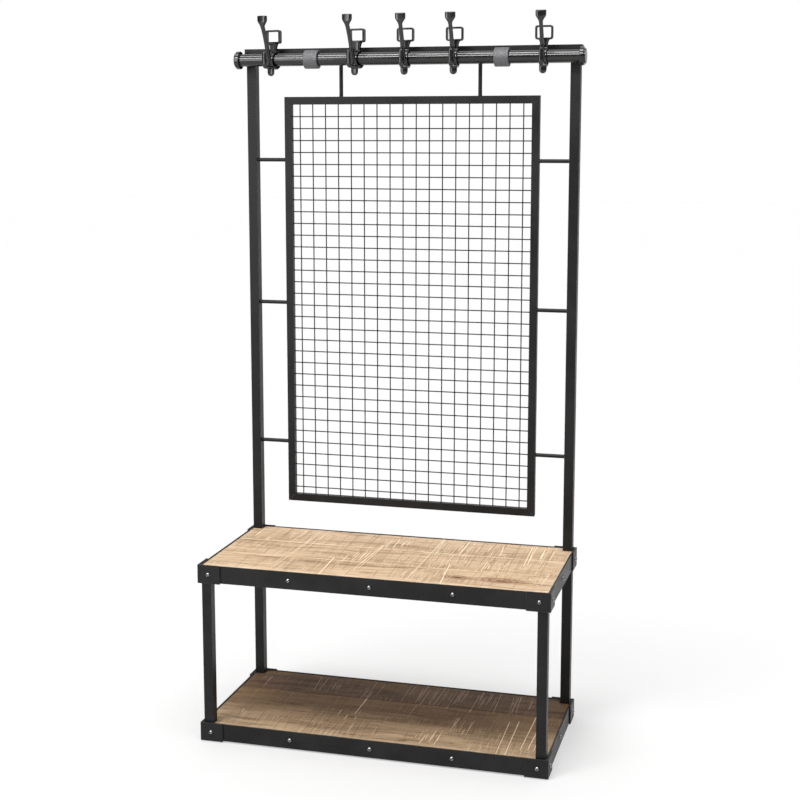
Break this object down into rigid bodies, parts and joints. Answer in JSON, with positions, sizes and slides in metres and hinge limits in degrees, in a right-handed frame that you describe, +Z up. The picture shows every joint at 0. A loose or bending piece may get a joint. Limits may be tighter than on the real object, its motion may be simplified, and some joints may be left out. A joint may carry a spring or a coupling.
{
  "type": "entryway bench",
  "caption": "Hall bench with a planked wooden seat and shoe shelf in a steel frame, a wire-mesh back panel and a coat rail with sliding hooks.",
  "frame": {"origin": "on the floor, at the middle of the footprint", "axes": "+X to the right seen from the front, +Y to the rear, +Z up"},
  "size_m": [0.92, 0.4194, 1.8391],
  "materials": {
    "frame_steel": "satin charcoal powder coat",
    "gloss_black_steel": "gloss black enamel",
    "mesh_steel": "satin charcoal powder coat",
    "hook_iron": "gloss black enamel on a casting",
    "clip_iron": "matt textured casting",
    "black_bolts": "black oxide",
    "zinc_screws": "zinc plated",
    "seat_wood": "oiled, with pale saw marks",
    "shelf_wood": "oiled, with pale saw marks",
    "batten_wood": "sawn",
    "foot_plastic": "moulded"
  },
  "bodies": {
    "frame": {"left_front_leg": "frame_steel", "right_front_leg": "frame_steel", "left_rear_post": "frame_steel", "right_rear_post": "frame_steel", "foot_plugs": "foot_plastic", "seat_front_rail": "frame_steel", "seat_rear_rail": "frame_steel", "seat_left_rail": "frame_steel", "seat_right_rail": "frame_steel", "shelf_front_rail": "frame_steel", "shelf_rear_rail": "frame_steel", "shelf_left_rail": "frame_steel", "shelf_right_rail": "frame_steel", "seat_bracket_front_left": "frame_steel", "seat_bracket_front_right": "frame_steel", "seat_bracket_rear_left": "frame_steel", "seat_bracket_rear_right": "frame_steel", "shelf_bracket_front_left": "frame_steel", "shelf_bracket_front_right": "frame_steel", "shelf_bracket_rear_left": "frame_steel", "shelf_bracket_rear_right": "frame_steel", "seat_plank_front": "seat_wood", "seat_plank_middle": "seat_wood", "seat_plank_rear": "seat_wood", "shelf_plank_front": "shelf_wood", "shelf_plank_middle": "shelf_wood", "shelf_plank_rear": "shelf_wood", "seat_cross_battens": "batten_wood", "seat_end_battens": "batten_wood", "shelf_cross_battens": "batten_wood", "shelf_end_battens": "batten_wood", "seat_deck_screws": "zinc_screws", "shelf_deck_screws": "zinc_screws", "seat_frame_bolts": "black_bolts", "shelf_frame_bolts": "black_bolts", "top_bar": "frame_steel", "coat_rail": "gloss_black_steel", "left_rail_clip": "clip_iron", "right_rail_clip": "clip_iron", "rail_clip_screws": "black_bolts", "left_end_cap": "gloss_black_steel", "right_end_cap": "gloss_black_steel", "panel_top_member": "frame_steel", "panel_bottom_member": "frame_steel", "panel_left_member": "frame_steel", "panel_right_member": "frame_steel", "mesh_upright_wires": "mesh_steel", "mesh_level_wires": "mesh_steel", "panel_left_rods": "frame_steel", "panel_right_rods": "frame_steel", "panel_top_rods": "frame_steel"},
    "left_end_hook": {"left_end_hook": "hook_iron"},
    "left_inner_hook": {"left_inner_hook": "hook_iron"},
    "centre_hook": {"centre_hook": "hook_iron"},
    "right_inner_hook": {"right_inner_hook": "hook_iron"},
    "right_end_hook": {"right_end_hook": "hook_iron"}
  },
  "joints": [
    {"name": "left_end_hook_slide", "type": "slide", "parent": "frame", "child": "left_end_hook", "axis": [1, 0, 0], "range_m": [-0.074, 0.069]},
    {"name": "left_inner_hook_slide", "type": "slide", "parent": "frame", "child": "left_inner_hook", "axis": [1, 0, 0], "range_m": [-0.086, 0.039]},
    {"name": "centre_hook_slide", "type": "slide", "parent": "frame", "child": "centre_hook", "axis": [1, 0, 0], "range_m": [-0.039, 0.039]},
    {"name": "right_inner_hook_slide", "type": "slide", "parent": "frame", "child": "right_inner_hook", "axis": [1, 0, 0], "range_m": [-0.039, 0.091]},
    {"name": "right_end_hook_slide", "type": "slide", "parent": "frame", "child": "right_end_hook", "axis": [1, 0, 0], "range_m": [-0.074, 0.079]}
  ]
}
